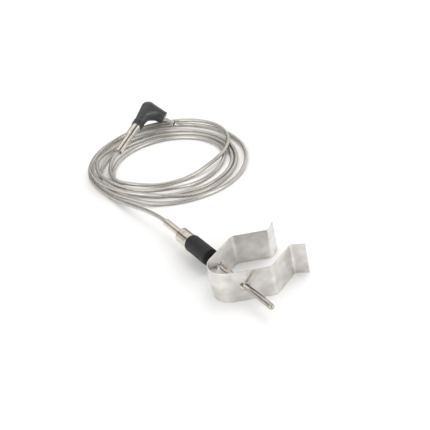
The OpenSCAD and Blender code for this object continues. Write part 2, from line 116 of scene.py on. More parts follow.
def filleted(points, radii, n=4):
    """Profile with the corners named in radii {index: radius} rounded"""
    out = []
    for i, p in enumerate(points):
        r = radii.get(i, 0)
        if not r or i in (0, len(points) - 1):
            out.append(p)
            continue
        p = np.array(p, float)
        a = np.array(points[i - 1], float) - p
        b = np.array(points[i + 1], float) - p
        la, lb = np.linalg.norm(a), np.linalg.norm(b)
        a, b = a / la, b / lb
        half = math.acos(max(-1, min(1, float(a @ b)))) / 2
        t = min(r / math.tan(half), 0.45 * la, 0.45 * lb)
        rr = t * math.tan(half)
        c = p + (a + b) / np.linalg.norm(a + b) * rr / math.sin(half)
        p0, p1 = p + a * t, p + b * t
        a0 = math.atan2(p0[1] - c[1], p0[0] - c[0])
        a1 = math.atan2(p1[1] - c[1], p1[0] - c[0])
        d = (a1 - a0 + math.pi) % (2 * math.pi) - math.pi
        out += [(c[0] + rr * math.cos(a0 + d * k / n), c[1] + rr * math.sin(a0 + d * k / n)) for k in range(n + 1)]
    return out


AXES = (np.array([0, 0, 0.0]), np.array([1.0, 0, 0]), np.array([0, 1.0, 0]), np.array([0, 0, 1.0]))


def lathe(name, prof, axes=AXES, sides=96, closed=False, wobble=None):
    """Turned piece: prof is (distance along, radius) in mm about axes = (origin, along, side, up)"""
    o, ax, ay, az = axes
    verts, along, ca, sa, rings = [], [], [], [], []
    for x, r in prof:
        if r < 1e-6:
            rings.append([len(verts)])
            verts.append(o + ax * x)
            along.append(x); ca.append(0); sa.append(0)
            continue
        ring = []
        for k in range(sides):
            a = 2 * math.pi * k / sides
            rr = r + (wobble(x, a) if wobble else 0)
            ring.append(len(verts))
            verts.append(o + ax * x + ay * rr * math.cos(a) + az * rr * math.sin(a))
            along.append(x); ca.append(math.cos(a)); sa.append(math.sin(a))
        rings.append(ring)
    pairs = list(zip(rings, rings[1:] + rings[:1])) if closed else list(zip(rings, rings[1:]))
    faces = []
    for p, q in pairs:
        if len(p) == 1 and len(q) == 1:
            continue
        for k in range(sides):
            j = (k + 1) % sides
            if len(p) == 1:
                faces.append((p[0], q[j], q[k]))
            elif len(q) == 1:
                faces.append((p[k], p[j], q[0]))
            else:
                faces.append((p[k], p[j], q[j], q[k]))
    ob = new_object(name, verts, faces, {"along": along, "ca": ca, "sa": sa})
    outward(ob)
    return ob


# --------------------------------------------------------------- materials

def mat(name):
    m = bpy.data.materials.new(name)
    m.use_nodes = True
    nt = m.node_tree
    nt.nodes.clear()
    out = nt.nodes.new("ShaderNodeOutputMaterial")
    b = nt.nodes.new("ShaderNodeBsdfPrincipled")
    nt.links.new(b.outputs[0], out.inputs[0])
    return m, nt, b


def put(nt, value, socket):
    if isinstance(value, bpy.types.NodeSocket):
        nt.links.new(value, socket)
    else:
        socket.default_value = value


def calc(nt, op, a, b=None, c=None, clamp=False):
    n = nt.nodes.new("ShaderNodeMath")
    n.operation = op
    n.use_clamp = clamp
    put(nt, a, n.inputs[0])
    if b is not None:
        put(nt, b, n.inputs[1])
    if c is not None:
        put(nt, c, n.inputs[2])
    return n.outputs[0]


def attr(nt, key):
    n = nt.nodes.new("ShaderNodeAttribute")
    n.attribute_name = key
    return n.outputs["Fac"]


def vec(nt, x, y, z):
    n = nt.nodes.new("ShaderNodeCombineXYZ")
    put(nt, x, n.inputs[0]); put(nt, y, n.inputs[1]); put(nt, z, n.inputs[2])
    return n.outputs[0]


def noise(nt, v, scale, detail=3.0, rough=0.5):
    n = nt.nodes.new("ShaderNodeTexNoise")
    if v is not None:
        nt.links.new(v, n.inputs["Vector"])
    n.inputs["Scale"].default_value = scale
    n.inputs["Detail"].default_value = detail
    n.inputs["Roughness"].default_value = rough
    return n.outputs[0]


def remap(nt, v, a, b, c, d):
    n = nt.nodes.new("ShaderNodeMapRange")
    n.inputs["From Min"].default_value = a
    n.inputs["From Max"].default_value = b
    n.inputs["To Min"].default_value = c
    n.inputs["To Max"].default_value = d
    nt.links.new(v, n.inputs["Value"])
    return n.outputs[0]


def mix(nt, f, a, b):
    n = nt.nodes.new("ShaderNodeMix")
    n.data_type = "RGBA"
    put(nt, f, n.inputs[0])
    put(nt, a, n.inputs[6])
    put(nt, b, n.inputs[7])
    return n.outputs[2]


def bump(nt, h, dist, strength=1.0):
    n = nt.nodes.new("ShaderNodeBump")
    n.inputs["Strength"].default_value = strength
    n.inputs["Distance"].default_value = dist
    nt.links.new(h, n.inputs["Height"])
    return n.outputs[0]


def objco(nt):
    """Position in millimetres, in the shared frame"""
    n = nt.nodes.new("ShaderNodeTexCoord")
    s = nt.nodes.new("ShaderNodeVectorMath")
    s.operation = "SCALE"
    s.inputs["Scale"].default_value = 1 / MM
    nt.links.new(n.outputs["Object"], s.inputs[0])
    return s.outputs[0]


def turned_metal(name, c0, c1, rough, lines=9.0, depth=0.004):
    """Turned or drawn tube: fine lines round it, faint staining, light handling marks"""
    m, nt, b = mat(name)
    s, ca, sa = attr(nt, "along"), attr(nt, "ca"), attr(nt, "sa")
    fine = noise(nt, vec(nt, calc(nt, "MULTIPLY", s, lines), calc(nt, "MULTIPLY", ca, 0.5), calc(nt, "MULTIPLY", sa, 0.5)), 1.0, 4)
    p = objco(nt)
    stain = noise(nt, p, 0.35, 3)
    fleck = noise(nt, p, 3.2, 5, 0.65)
    put(nt, mix(nt, remap(nt, stain, 0.35, 0.68, 0, 1), c0 + (1,), c1 + (1,)), b.inputs["Base Color"])
    b.inputs["Metallic"].default_value = 1
    r = calc(nt, "ADD", remap(nt, fleck, 0.4, 0.7, rough - 0.03, rough + 0.07), calc(nt, "MULTIPLY", fine, 0.05))
    put(nt, r, b.inputs["Roughness"])
    h = calc(nt, "ADD", fine, calc(nt, "MULTIPLY", fleck, 0.5))
    put(nt, bump(nt, h, depth * MM), b.inputs["Normal"])
    return m


def strip_metal(name):
    """Rolled spring strip: fine grain along its length, soft smears and a few scratches"""
    m, nt, b = mat(name)
    u, v, w = attr(nt, "su"), attr(nt, "sv"), attr(nt, "sw")
    grain = noise(nt, vec(nt, calc(nt, "MULTIPLY", u, 0.16), calc(nt, "MULTIPLY", v, 9.0), w), 1.0, 5, 0.6)
    scratch = noise(nt, vec(nt, calc(nt, "MULTIPLY", u, 0.7), calc(nt, "MULTIPLY", v, 2.6), calc(nt, "ADD", w, 7.0)), 1.0, 8, 0.75)
    smear = noise(nt, vec(nt, calc(nt, "MULTIPLY", u, 0.10), calc(nt, "MULTIPLY", v, 0.14), w), 1.0, 3)
    line = remap(nt, scratch, 0.60, 0.66, 0, 1)
    c = mix(nt, remap(nt, smear, 0.38, 0.62, 0, 1), (0.72, 0.70, 0.668, 1), (0.55, 0.52, 0.478, 1))
    c = mix(nt, calc(nt, "MULTIPLY", line, 0.25), c, (0.86, 0.85, 0.83, 1))
    put(nt, c, b.inputs["Base Color"])
    b.inputs["Metallic"].default_value = 1
    r = calc(nt, "ADD", remap(nt, smear, 0.3, 0.7, 0.26, 0.34), calc(nt, "MULTIPLY", grain, 0.07))
    put(nt, calc(nt, "ADD", r, calc(nt, "MULTIPLY", line, 0.08)), b.inputs["Roughness"])
    h = calc(nt, "ADD", grain, calc(nt, "MULTIPLY", smear, 3.0))
    put(nt, bump(nt, h, 0.0018 * MM), b.inputs["Normal"])
    # Rolled along its length, so reflections smear across the strip
    t = nt.nodes.new("ShaderNodeVectorTransform")
    t.vector_type, t.convert_from, t.convert_to = "VECTOR", "OBJECT", "WORLD"
    t.inputs[0].default_value = (0, 0, 1)
    nt.links.new(t.outputs[0], b.inputs["Tangent"])
    b.inputs["Anisotropic"].default_value = 0.8
    b.inputs["Coat Weight"].default_value = 1.0
    b.inputs["Coat IOR"].default_value = 2.5
    put(nt, remap(nt, smear, 0.3, 0.7, 0.05, 0.11), b.inputs["Coat Roughness"])
    return m


def braid_metal(name):
    """Woven round braid: two sets of flat bundles crossing over and under, each bundle of fine wires, with painted
    shade darkening the low places between bundles and wires
    """
    m, nt, b = mat(name)
    s, ca, sa = attr(nt, "along"), attr(nt, "ca"), attr(nt, "sa")
    ang = calc(nt, "ARCTAN2", sa, ca)
    around = calc(nt, "MULTIPLY", ang, 8.0)
    run = calc(nt, "MULTIPLY", s, 2 * math.pi / 1.5)
    p1 = calc(nt, "ADD", around, run)
    p2 = calc(nt, "SUBTRACT", around, run)

    def bundle(p):
        body = calc(nt, "ABSOLUTE", calc(nt, "SINE", calc(nt, "MULTIPLY", p, 0.5)))
        wires = calc(nt, "ABSOLUTE", calc(nt, "SINE", calc(nt, "MULTIPLY", p, 2.5)))
        return calc(nt, "ADD", calc(nt, "POWER", body, 0.45), calc(nt, "MULTIPLY", wires, 0.16))

    lift = calc(nt, "MULTIPLY", calc(nt, "MULTIPLY", calc(nt, "COSINE", calc(nt, "MULTIPLY", calc(nt, "ADD", p1, p2), 0.5)),
                                     calc(nt, "COSINE", calc(nt, "MULTIPLY", calc(nt, "SUBTRACT", p1, p2), 0.5))), 0.55)
    top = calc(nt, "MAXIMUM", calc(nt, "ADD", bundle(p1), lift), calc(nt, "SUBTRACT", bundle(p2), lift))
    p = objco(nt)
    tone = noise(nt, p, 0.06, 3)
    fleck = noise(nt, p, 2.4, 5, 0.6)
    lit = mix(nt, remap(nt, tone, 0.35, 0.65, 0, 1), (0.74, 0.715, 0.67, 1), (0.62, 0.59, 0.545, 1))
    # painted shade: the low places of the weave (between bundles, between wires, and where one set dips under the
    # other) get a near-black colour, while the raised tops take the lit colour
    c = mix(nt, remap(nt, top, 0.72, 1.25, 0, 1), (0.15, 0.138, 0.122, 1), lit)
    c = mix(nt, remap(nt, fleck, 0.5, 0.75, 0, 0.3), c, (0.75, 0.74, 0.72, 1))
    put(nt, c, b.inputs["Base Color"])
    b.inputs["Metallic"].default_value = 0.92
    put(nt, remap(nt, fleck, 0.3, 0.7, 0.18, 0.30), b.inputs["Roughness"])
    put(nt, bump(nt, top, 0.045 * MM), b.inputs["Normal"])
    return m


def dark(name, c0, c1, rough, grain, depth, spec=0.4):
    """Black rubber or moulding: fine grain, slight bloom and dust"""
    m, nt, b = mat(name)
    p = objco(nt)
    fine = noise(nt, p, grain, 6, 0.65)
    soft = noise(nt, p, 0.28, 3)
    dust = noise(nt, p, 2.1, 7, 0.8)
    c = mix(nt, remap(nt, soft, 0.35, 0.68, 0, 1), c0 + (1,), c1 + (1,))
    c = mix(nt, remap(nt, dust, 0.62, 0.74, 0, 0.22), c, (0.16, 0.155, 0.15, 1))
    put(nt, c, b.inputs["Base Color"])
    put(nt, remap(nt, fine, 0.3, 0.7, rough - 0.07, rough + 0.08), b.inputs["Roughness"])
    b.inputs["Specular IOR Level"].default_value = spec
    put(nt, bump(nt, fine, depth * MM), b.inputs["Normal"])
    return m


def plain_pattern(name, c0, c1, rough, metal=0.0, scale=2.0, depth=0.01):
    """Inner pieces: two close tones, a grain and a roughness that varies with it"""
    m, nt, b = mat(name)
    p = objco(nt)
    n = noise(nt, p, scale, 5, 0.6)
    put(nt, mix(nt, remap(nt, n, 0.35, 0.65, 0, 1), c0 + (1,), c1 + (1,)), b.inputs["Base Color"])
    b.inputs["Metallic"].default_value = metal
    put(nt, remap(nt, n, 0.3, 0.7, rough - 0.05, rough + 0.08), b.inputs["Roughness"])
    put(nt, bump(nt, n, depth * MM), b.inputs["Normal"])
    return m


SHEATH = turned_metal("sheath_steel", (0.54, 0.505, 0.46), (0.42, 0.385, 0.34), 0.085, 3.0, 0.0012)
COLLAR = turned_metal("collar_nickel", (0.68, 0.63, 0.565), (0.56, 0.505, 0.44), 0.13, 2.6, 0.022)
FERRULE = turned_metal("ferrule_nickel", (0.71, 0.67, 0.61), (0.62, 0.575, 0.51), 0.12, 4.0, 0.003)
RELIEF = turned_metal("relief_nickel", (0.74, 0.70, 0.645), (0.63, 0.585, 0.52), 0.11, 5.0, 0.003)
JACK = turned_metal("jack_nickel", (0.74, 0.71, 0.66), (0.68, 0.64, 0.58), 0.14, 4.0, 0.002)
STRIP = strip_metal("strip_steel")
BRAID = braid_metal("cable_braid_steel")
RUBBER = dark("sleeve_rubber", (0.010, 0.010, 0.011), (0.017, 0.017, 0.018), 0.58, 9.0, 0.02, 0.35)
BOOT = dark("boot_moulding", (0.022, 0.023, 0.025), (0.034, 0.035, 0.038), 0.34, 7.0, 0.012, 0.65)
INSULATOR = dark("jack_insulation", (0.012, 0.012, 0.012), (0.02, 0.02, 0.02), 0.35, 6.0, 0.004, 0.5)

SLOT_MATERIALS = {
    "polished_steel": plain_pattern("inner_steel", (0.62, 0.6, 0.57), (0.55, 0.53, 0.5), 0.2, 1.0, 1.5, 0.003),
    "nickel": plain_pattern("inner_nickel", (0.7, 0.67, 0.61), (0.62, 0.58, 0.52), 0.2, 1.0, 1.5, 0.003),
    "strip_steel": plain_pattern("inner_strip", (0.62, 0.6, 0.57), (0.55, 0.53, 0.5), 0.25, 1.0, 1.5, 0.003),
    "braid_steel": plain_pattern("inner_braid", (0.5, 0.49, 0.46), (0.3, 0.29, 0.27), 0.35, 0.9, 2.5, 0.03),
    "black_rubber": RUBBER,
    "black_moulding": BOOT,
    "grey_plastic": INSULATOR,
    "ceramic": plain_pattern("alumina", (0.84, 0.82, 0.76), (0.74, 0.71, 0.64), 0.7, 0.0, 1.6, 0.015),
    "core_insulation": plain_pattern("glass_fibre", (0.80, 0.76, 0.66), (0.68, 0.64, 0.54), 0.75, 0.0, 3.0, 0.03),
    "positive_alloy": plain_pattern("positive_wire", (0.55, 0.50, 0.45), (0.46, 0.41, 0.36), 0.3, 1.0, 3.0, 0.003),
    "negative_alloy": plain_pattern("negative_wire", (0.50, 0.49, 0.48), (0.42, 0.41, 0.40), 0.3, 1.0, 3.0, 0.003),
    "copper_tinned": plain_pattern("tinned_copper", (0.70, 0.58, 0.46), (0.62, 0.47, 0.33), 0.28, 1.0, 2.5, 0.004),
    "sleeve_red": plain_pattern("red_sleeving", (0.42, 0.07, 0.06), (0.33, 0.05, 0.045), 0.6, 0.0, 4.0, 0.02),
    "sleeve_blue": plain_pattern("blue_sleeving", (0.07, 0.12, 0.36), (0.05, 0.09, 0.28), 0.6, 0.0, 4.0, 0.02),
    "sealant": plain_pattern("sealant", (0.38, 0.12, 0.08), (0.30, 0.09, 0.06), 0.5, 0.0, 1.5, 0.03),
    "solder": plain_pattern("solder", (0.66, 0.66, 0.65), (0.52, 0.52, 0.51), 0.3, 1.0, 3.5, 0.01),
}
for sub in record["subparts"]:
    o = frame["nodes"][sub["node"]]
    m = SLOT_MATERIALS[sub["material_slot"]]
    if not o.material_slots:
        o.data.materials.append(m)
    for sl in o.material_slots:
        sl.material = m


def finish_piece(o, material, slot, *nodes):
    o.data.materials.clear()
    o.data.materials.append(material)
    if nodes:
        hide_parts(*nodes)
    return o


# ------------------------------------------------------------------- probe

sh_lo, sh_hi = span("probe_sheath")
sl_lo, sl_hi = span("grip_sleeve")
co_lo, co_hi = span("collar_body")
fe_lo, fe_hi = span("crimp_ferrule")
pb_lo, pb_hi = span("probe_end_braid")
floor_z = span("clip_front_arm")[0][2]
sheath_r = (sh_hi[2] - sh_lo[2]) / 2
sleeve_r = (sl_hi[2] - sl_lo[2]) / 2
collar_r = (co_hi[2] - co_lo[2]) / 2
ferrule_r = (fe_hi[2] - fe_lo[2]) / 2
cable_r = (pb_hi[2] - pb_lo[2]) / 2
tip_x = sh_hi[0]

bore = sheath_r - 0.35
dome = tip_x - sheath_r
prof = [(dome + bore * math.sin(a), bore * math.cos(a)) for a in np.linspace(math.pi / 2, 0, 12)]
prof += filleted([(dome, bore), (sh_lo[0], bore), (sh_lo[0], sheath_r), (dome, sheath_r)], {1: 0.05, 2: 0.08})[1:-1]
prof += [(x, sheath_r) for x in np.linspace(sh_lo[0] + 0.3, dome, 40)]
prof += [(dome + sheath_r * math.sin(a), sheath_r * math.cos(a)) for a in np.linspace(0, math.pi / 2, 22)[1:]]
prof[0] = (dome + bore, 0)
prof[-1] = (tip_x, 0)
sheath = lathe("sheath_tube", prof, sides=96)
weighted(sheath)
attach(finish_piece(sheath, SHEATH, "polished_steel", "probe_sheath"), "probe")

# Collar: turned body with broken edges, a faint tool step near the sleeve and
# its spigot inside the sleeve
cx0, cx1 = co_lo[0], sl_lo[0] - 0.05
prof = filleted([
    (cx0, 2.26), (cx0, collar_r - 0.42), (cx0 + 0.42, collar_r), (cx1 - 1.05, collar_r),
    (cx1 - 0.98, collar_r - 0.05), (cx1 - 0.85, collar_r - 0.05), (cx1 - 0.78, collar_r),
    (cx1 - 0.12, collar_r), (cx1, collar_r - 0.12), (cx1, 3.4), (co_hi[0], 3.4), (co_hi[0], 2.41), (cx0 + 3.3, 2.41), (cx0 + 3.3, 2.26)],
    {1: 0.12, 2: 0.12, 3: 0.03, 6: 0.03, 7: 0.05, 8: 0.05, 10: 0.15})
collar = lathe("collar_turned", prof, sides=112, closed=True)
weighted(collar)
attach(finish_piece(collar, COLLAR, "nickel", "collar_body"), "probe")

# Ferrule: drawn tube with a slightly rolled mouth
prof = filleted([
    (fe_lo[0], cable_r + 0.03), (fe_lo[0], ferrule_r - 0.05), (fe_lo[0] + 0.5, ferrule_r), (fe_hi[0], ferrule_r),
    (fe_hi[0], cable_r + 0.03)], {1: 0.16, 2: 0.3, 3: 0.12})
ferrule = lathe("ferrule_drawn", prof, sides=80, closed=True)
weighted(ferrule)
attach(finish_piece(ferrule, FERRULE, "nickel", "crimp_ferrule"), "probe")

# Grip sleeve: cut rubber tube, its ends slightly rounded and rolled
rear, front = sl_lo[0], sl_hi[0]
spigot_x = co_hi[0] + 0.2


def rubber_wave(x, a):
    return 0.018 * math.sin(1.3 * x + 2.1 * math.sin(a)) * math.cos(3 * a + 0.4 * x)


prof = filleted([
    (rear, 3.43), (rear, sleeve_r - 0.1), (rear + 0.9, sleeve_r), (rear + 1.5, sleeve_r - 0.06),
    (front - 1.2, sleeve_r - 0.05), (front, sleeve_r - 0.3), (front, sheath_r + 0.05), (spigot_x, sheath_r + 0.05), (spigot_x, 3.43)],
    {1: 0.4, 2: 0.3, 3: 0.4, 4: 0.7, 5: 0.5, 6: 0.15}, 6)
fine = []
for (x0, r0), (x1, r1) in zip(prof, prof[1:]):
    steps = max(1, int(abs(x1 - x0) / 0.8))
    fine += [(x0 + (x1 - x0) * k / steps, r0 + (r1 - r0) * k / steps) for k in range(steps)]
fine.append(prof[-1])
sleeve = lathe("grip_sleeve_rubber", fine, sides=96, closed=True, wobble=lambda x, a: rubber_wave(x, a))
weighted(sleeve)
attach(finish_piece(sleeve, RUBBER, "black_rubber", "grip_sleeve"), "sleeve")

# -------------------------------------------------------------------- clip

c_lo, c_hi = span("clip_bow")
mid_x = (c_lo[0] + c_hi[0]) / 2
strip_w = c_hi[2] - c_lo[2]
strip_t = 0.5
bow_r = 10.9
bow_c = np.array([mid_x, c_lo[1] + strip_t / 2 + bow_r])
AA, JA, LA = map(math.radians, (28, 28.5, 41))
unit = lambda v: v / np.linalg.norm(v)
arm_t = bow_c + bow_r * np.array([math.cos(AA), -math.sin(AA)])
arm_s = arm_t + 21.5 * np.array([math.sin(AA), math.cos(AA)])
arm_w = arm_s + 19.8 * np.array([-math.sin(JA), math.cos(JA)])
arm_e = arm_w + 7.8 * np.array([math.sin(LA), math.cos(LA)])


def corner(a, b, c, r, n):
    u, w = unit(a - b), unit(c - b)
    h = math.acos(float(u @ w)) / 2
    p = b + unit(u + w) * r / math.sin(h)
    s, e = b + u * r / math.tan(h) - p, b + w * r / math.tan(h) - p
    a0, a1 = math.atan2(s[1], s[0]), math.atan2(e[1], e[0])
    d = (a1 - a0 + math.pi) % (2 * math.pi) - math.pi
    return [p + r * np.array([math.cos(a0 + d * i / n), math.sin(a0 + d * i / n)]) for i in range(n + 1)]


line = [bow_c + bow_r * np.array([math.sin(a), -math.cos(a)]) for a in np.linspace(0, math.pi / 2 - AA, 60)]
line += corner(arm_t, arm_s, arm_w, 3, 24) + corner(arm_s, arm_w, arm_e, 2.5, 24) + [arm_e]
line = np.array(line)
cum = np.concatenate([[0], np.cumsum(np.linalg.norm(np.diff(line, axis=0), axis=1))])
total = cum[-1]


def on_strip(u):
    """Point and across-thickness normal at distance u from the bow's middle, u < 0 on the rear side"""
    s = abs(u)
    p = np.array([np.interp(s, cum, line[:, 0]), np.interp(s, cum, line[:, 1])])
    e = 0.06
    q = np.array([np.interp(min(total, s + e), cum, line[:, 0]), np.interp(min(total, s + e), cum, line[:, 1])])
    r = np.array([np.interp(max(0, s - e), cum, line[:, 0]), np.interp(max(0, s - e), cum, line[:, 1])])
    d = unit(q - r)
    n = np.array([-d[1], d[0]])
    if u < 0:
        p[0] = 2 * mid_x - p[0]
        n = np.array([-n[0], n[1]])
    return p, n


hole_y = -(2.4 * math.cos(AA) - strip_t / 2 * math.sin(AA) - sheath_r - 0.04)
s_t = bow_r * (math.pi / 2 - AA)
hole_u = s_t + (hole_y - arm_t[1]) / math.cos(AA)
hole_r, hh, nseg = 2.4, 4.0, 16
half_w = strip_w / 2
us = list(np.linspace(0, hole_u - hh, 46)) + list(np.linspace(hole_u - hh, hole_u + hh, nseg + 1))[1:] \
    + list(np.linspace(hole_u + hh, total, 96))[1:]
us = [-u for u in us[:0:-1]] + us
vs = list(np.linspace(-half_w, -hh, 9)) + list(np.linspace(-hh, hh, nseg + 1))[1:] + list(np.linspace(hh, half_w, 9))[1:]
flat_pts, index, faces2 = [], {}, []


def flat_vertex(u, v):
    key = (round(u, 5), round(v, 5))
    if key not in index:
        index[key] = len(flat_pts)
        flat_pts.append((u, v))
    return index[key]


def in_patch(u, v):
    return any(abs(u - c) < hh - 1e-6 and abs(v) < hh - 1e-6 for c in (hole_u, -hole_u))


for u0, u1 in zip(us, us[1:]):
    for v0, v1 in zip(vs, vs[1:]):
        if in_patch((u0 + u1) / 2, (v0 + v1) / 2):
            continue
        faces2.append([flat_vertex(u0, v0), flat_vertex(u1, v0), flat_vertex(u1, v1), flat_vertex(u0, v1)])
for c in (hole_u, -hole_u):
    g = list(np.linspace(-hh, hh, nseg + 1))
    square = [(hh, y) for y in g] + [(x, hh) for x in g[::-1][1:]] + [(-hh, y) for y in g[::-1][1:]] + [(x, -hh) for x in g[1:-1]]
    rings2 = []
    for k in range(7):
        f = k / 6
        ring = []
        for x, y in square:
            a = math.atan2(y, x)
            rr = math.hypot(x, y) * (1 - f) + hole_r * f
            qx, qy = (x, y) if k == 0 else (rr * math.cos(a), rr * math.sin(a))
            ring.append(flat_vertex(c + qx, qy))
        rings2.append(ring)
    for p, q in zip(rings2, rings2[1:]):
        for i in range(len(p)):
            j = (i + 1) % len(p)
            faces2.append([p[i], p[j], q[j], q[i]])
verts3 = []
for u, v in flat_pts:
    p, n = on_strip(u)
    verts3.append([p[0], p[1], v])
clip = new_object("clip_whole", verts3, faces2, {
    "su": [p[0] for p in flat_pts], "sv": [p[1] for p in flat_pts], "sw": [0.0] * len(flat_pts)})
outward(clip)
mod = clip.modifiers.new("sheet", "SOLIDIFY")
mod.thickness = strip_t * MM
mod.offset = 0
mod.use_even_offset = True
bake_modifiers(clip)
mod = clip.modifiers.new("edge", "BEVEL")
mod.width = 0.07 * MM
mod.segments = 2
mod.limit_method = "ANGLE"
mod.angle_limit = math.radians(50)
bake_modifiers(clip)
weighted(clip)


def half_clip(name, sign):
    o = bpy.data.objects.new(name, clip.data.copy())
    bpy.context.scene.collection.objects.link(o)
    bm = bmesh.new()
    bm.from_mesh(o.data)
    gone = [f for f in bm.faces if sign * (f.calc_center_median().x / MM - mid_x) < 0]
    bmesh.ops.delete(bm, geom=gone, context="FACES")
    bm.to_mesh(o.data)
    bm.free()
    return o


front_end, _ = on_strip(bow_r * math.radians(44))
rear_end, _ = on_strip(-bow_r * math.radians(44))
bow_mid, _ = on_strip(0)
half_front = half_clip("clip_strip_front", 1)
half_rear = half_clip("clip_strip_rear", -1)
finish_piece(half_front, STRIP, "strip_steel", "clip_front_arm", "clip_bow")
finish_piece(half_rear, STRIP, "strip_steel", "clip_rear_arm")
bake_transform(half_front)
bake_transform(half_rear)
bpy.data.objects.remove(clip)

# ------------------------------------------------------------------- cable
# The coil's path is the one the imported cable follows.

pivot = np.array(joints["plug_flex"]["pos_m"]) / MM
lift_axis = unit(np.array(joints["plug_flex"]["axis"], float))
arm_dir = unit(np.array(mounts["jack"]["axis"], float))
plug_n = unit(np.cross(arm_dir, lift_axis))
if plug_n @ (np.array(mounts["jack"]["pos_m"]) / MM - pivot) < 0:
    plug_n = -plug_n
plug_end = pivot + plug_n * 1.0
TURNS = [[40, 40, 33, 50], [62, 49, 57, 44], [54, 45, 44, 37], [38, 39, 52, 41], [47, 48, 62.5, 51], [65, 51, 60, 50]]
COIL = np.array([-196.0, 42.8])
STEPS, T_IN, T_OUT, N_IN, N_OUT = 44, 0.3, 5.2, 18, 20
N_MID = round((T_OUT - T_IN) * STEPS)
N_ALL = N_IN + N_MID + N_OUT
cable_d = 2 * cable_r
lead_a = plug_end - plug_n * 1.5
lead_b = np.array([fe_lo[0] - 1.5, 0, 0])


def reach(i, j):
    return TURNS[max(0, min(i, 5))][j]


def plan(t):
    i = math.floor(t)
    f = t - i
    a = math.radians(180 + 360 * f)
    xl, xr = -reach(i if f < 0.5 else i + 1, 0), reach(i, 2)
    yn, yf = -reach(i if f < 0.75 else i + 1, 1), reach(i - 1 if f < 0.25 else i, 3)
    return COIL + np.array([(xl + xr) / 2 + (xr - xl) / 2 * math.cos(a), (yn + yf) / 2 + (yf - yn) / 2 * math.sin(a)])


def hermite(p, q, u, v, s):
    return p * (2 * s ** 3 - 3 * s * s + 1) + u * (s ** 3 - 2 * s * s + s) + q * (3 * s * s - 2 * s ** 3) + v * (s ** 3 - s * s)


def run_dir(t):
    return (plan(t + 0.01) - plan(t - 0.01)) / 0.02


line2 = [hermite(lead_a[:2], plan(T_IN), -46 * plug_n[:2], run_dir(T_IN) * 0.16, i / N_IN) for i in range(N_IN)]
line2 += [plan(T_IN + (T_OUT - T_IN) * i / N_MID) for i in range(N_MID)]
line2 += [hermite(plan(T_OUT), lead_b[:2], run_dir(T_OUT) * 0.2, np.array([70.0, 0]), i / N_OUT) for i in range(N_OUT + 1)]
line2 = np.array(line2)


def held(k):
    ease = lambda s: s * s * (3 - 2 * s)
    base = floor_z + cable_r
    if k > N_ALL - 12:
        return base + (0 - base) * ease((k - N_ALL + 12) / 12)
    if k < 9:
        return base + (lead_a[2] - base) * (1 - ease(k / 9))
    return base


def off_line(p, a, b):
    d = b - a
    f = max(0, min(1, float((p - a) @ d) / max(1e-12, float(d @ d))))
    return float(np.linalg.norm(p - a - f * d))


def turn2(a, b, c):
    return (b[0] - a[0]) * (c[1] - a[1]) - (b[1] - a[1]) * (c[0] - a[0])


def gap2(a, b, c, d):
    if turn2(a, b, c) * turn2(a, b, d) < 0 and turn2(c, d, a) * turn2(c, d, b) < 0:
        return 0.0
    return min(off_line(a, c, d), off_line(b, c, d), off_line(c, a, b), off_line(d, a, b))


LAY = 1.08 * cable_d
need, lie = {}, {}
for k in range(N_ALL, -1, -1):
    first = min(lie) if lie else N_ALL + 1
    best = held(k)
    for m_ in range(max(first, k + STEPS // 2), N_ALL):
        if np.linalg.norm(line2[k] - line2[m_]) < 18:
            g = min(gap2(line2[k], line2[min(N_ALL, k + 1)], line2[m_], line2[m_ + 1]),
                    gap2(line2[max(0, k - 1)], line2[k], line2[m_], line2[m_ + 1]))
            if g < 1.03 * cable_d:
                best = max(best, max(lie[m_], lie[m_ + 1]) + math.sqrt(LAY * LAY - g * g))
    need[k] = best
    i = k + 4
    if i <= N_ALL:
        crest = lambda q: max(need[max(k, min(N_ALL, q + j))] for j in range(-2, 3))
        lie[i] = max(held(i), (crest(i - 2) + 2 * crest(i - 1) + 3 * crest(i) + 2 * crest(i + 1) + crest(i + 2)) / 9)
for i in range(0, min(lie)):
    crest = lambda q: max(need[max(0, min(N_ALL, q + j))] for j in range(-2, 3))
    lie[i] = max(held(i), (crest(i - 2) + 2 * crest(i - 1) + 3 * crest(i) + 2 * crest(i + 1) + crest(i + 2)) / 9)
stations = np.array([[line2[i][0], line2[i][1], lie[i]] for i in range(N_ALL + 1)])
stations[0], stations[-1] = lead_a, lead_b


def spline(pts, per):
    """Smooth curve through the stations"""
    out = []
    n = len(pts)
    for i in range(n - 1):
        p0 = pts[i - 1] if i else 2 * pts[0] - pts[1]
        p1, p2 = pts[i], pts[i + 1]
        p3 = pts[i + 2] if i + 2 < n else 2 * pts[-1] - pts[-2]
        k = max(2, int(round(np.linalg.norm(p2 - p1) / per)))
        for j in range(k):
            t = j / k
            out.append(0.5 * (2 * p1 + (p2 - p0) * t + (2 * p0 - 5 * p1 + 4 * p2 - p3) * t * t + (3 * p1 - p0 - 3 * p2 + p3) * t ** 3))
    out.append(pts[-1])
    return np.array(out)


ahead = [plug_end + plug_n * d for d in np.linspace(24, 0, 25)]
behind = [np.array([x, 0, 0]) for x in np.linspace(fe_lo[0], pb_hi[0], 24)]
through = np.array(ahead + list(stations) + behind)
path = spline(through, 0.7)
dist = np.concatenate([[0], np.cumsum(np.linalg.norm(np.diff(path, axis=0), axis=1))])
d_plug = 24.0                                 # distance along at the plug tube's mouth
d_probe = dist[-1] - (pb_hi[0] - fe_lo[0])    # and at the ferrule's mouth
print("cable length mm", round(dist[-1], 1), "stations", len(path), "pivot check", np.round(path[np.argmin(abs(dist - d_plug - 1))] - pivot, 2))


